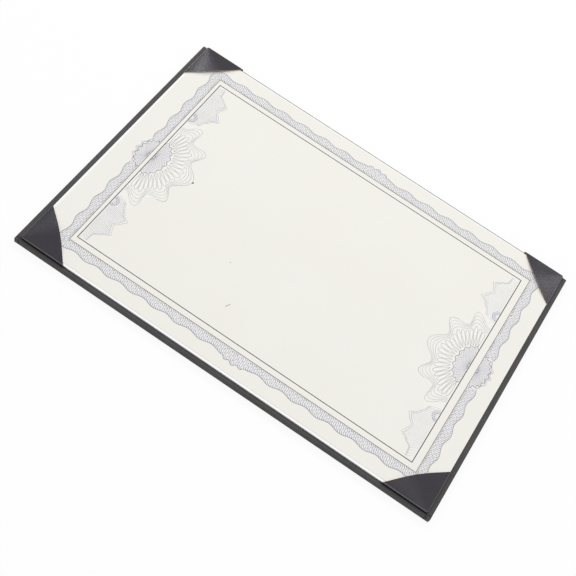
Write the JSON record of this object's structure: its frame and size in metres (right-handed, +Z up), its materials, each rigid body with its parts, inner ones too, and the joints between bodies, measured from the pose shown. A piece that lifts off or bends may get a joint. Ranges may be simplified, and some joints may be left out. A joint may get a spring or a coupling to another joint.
{
  "type": "certificate cover",
  "caption": "Flat leatherette-covered board with four corner pockets that hold one printed landscape certificate sheet.",
  "frame": {"origin": "centre of the underside, on the surface that the cover lies on", "axes": "+X along the long side, +Y from the near long edge to the far one, +Z up out of the face that shows the sheet"},
  "size_m": [0.3064, 0.2146, 0.0072],
  "materials": {
    "leatherette": "fine-grained matt black leatherette",
    "board": "raw grey bookbinding board",
    "liner_card": "white smooth card",
    "sheet": "cream laid certificate paper, matt",
    "ink_line": "dark grey printed line",
    "ink_ribbon": "fine grey-violet woven line print",
    "ink_fan": "pale grey line print"
  },
  "bodies": {
    "root": {"cover_board": "board", "cover_wrap": "leatherette", "liner_panel": "liner_card", "certificate_sheet": "sheet", "pocket_near_left": "leatherette", "pocket_near_right": "leatherette", "pocket_far_right": "leatherette", "pocket_far_left": "leatherette", "print_inner_line": "ink_line", "print_outer_line": "ink_line", "print_ribbon": "ink_ribbon", "print_disc_left": "ink_ribbon", "print_disc_right": "ink_ribbon", "print_outer_disc_left": "ink_ribbon", "print_outer_disc_right": "ink_ribbon", "print_fan_left": "ink_fan", "print_fan_right": "ink_fan"}
  },
  "joints": []
}
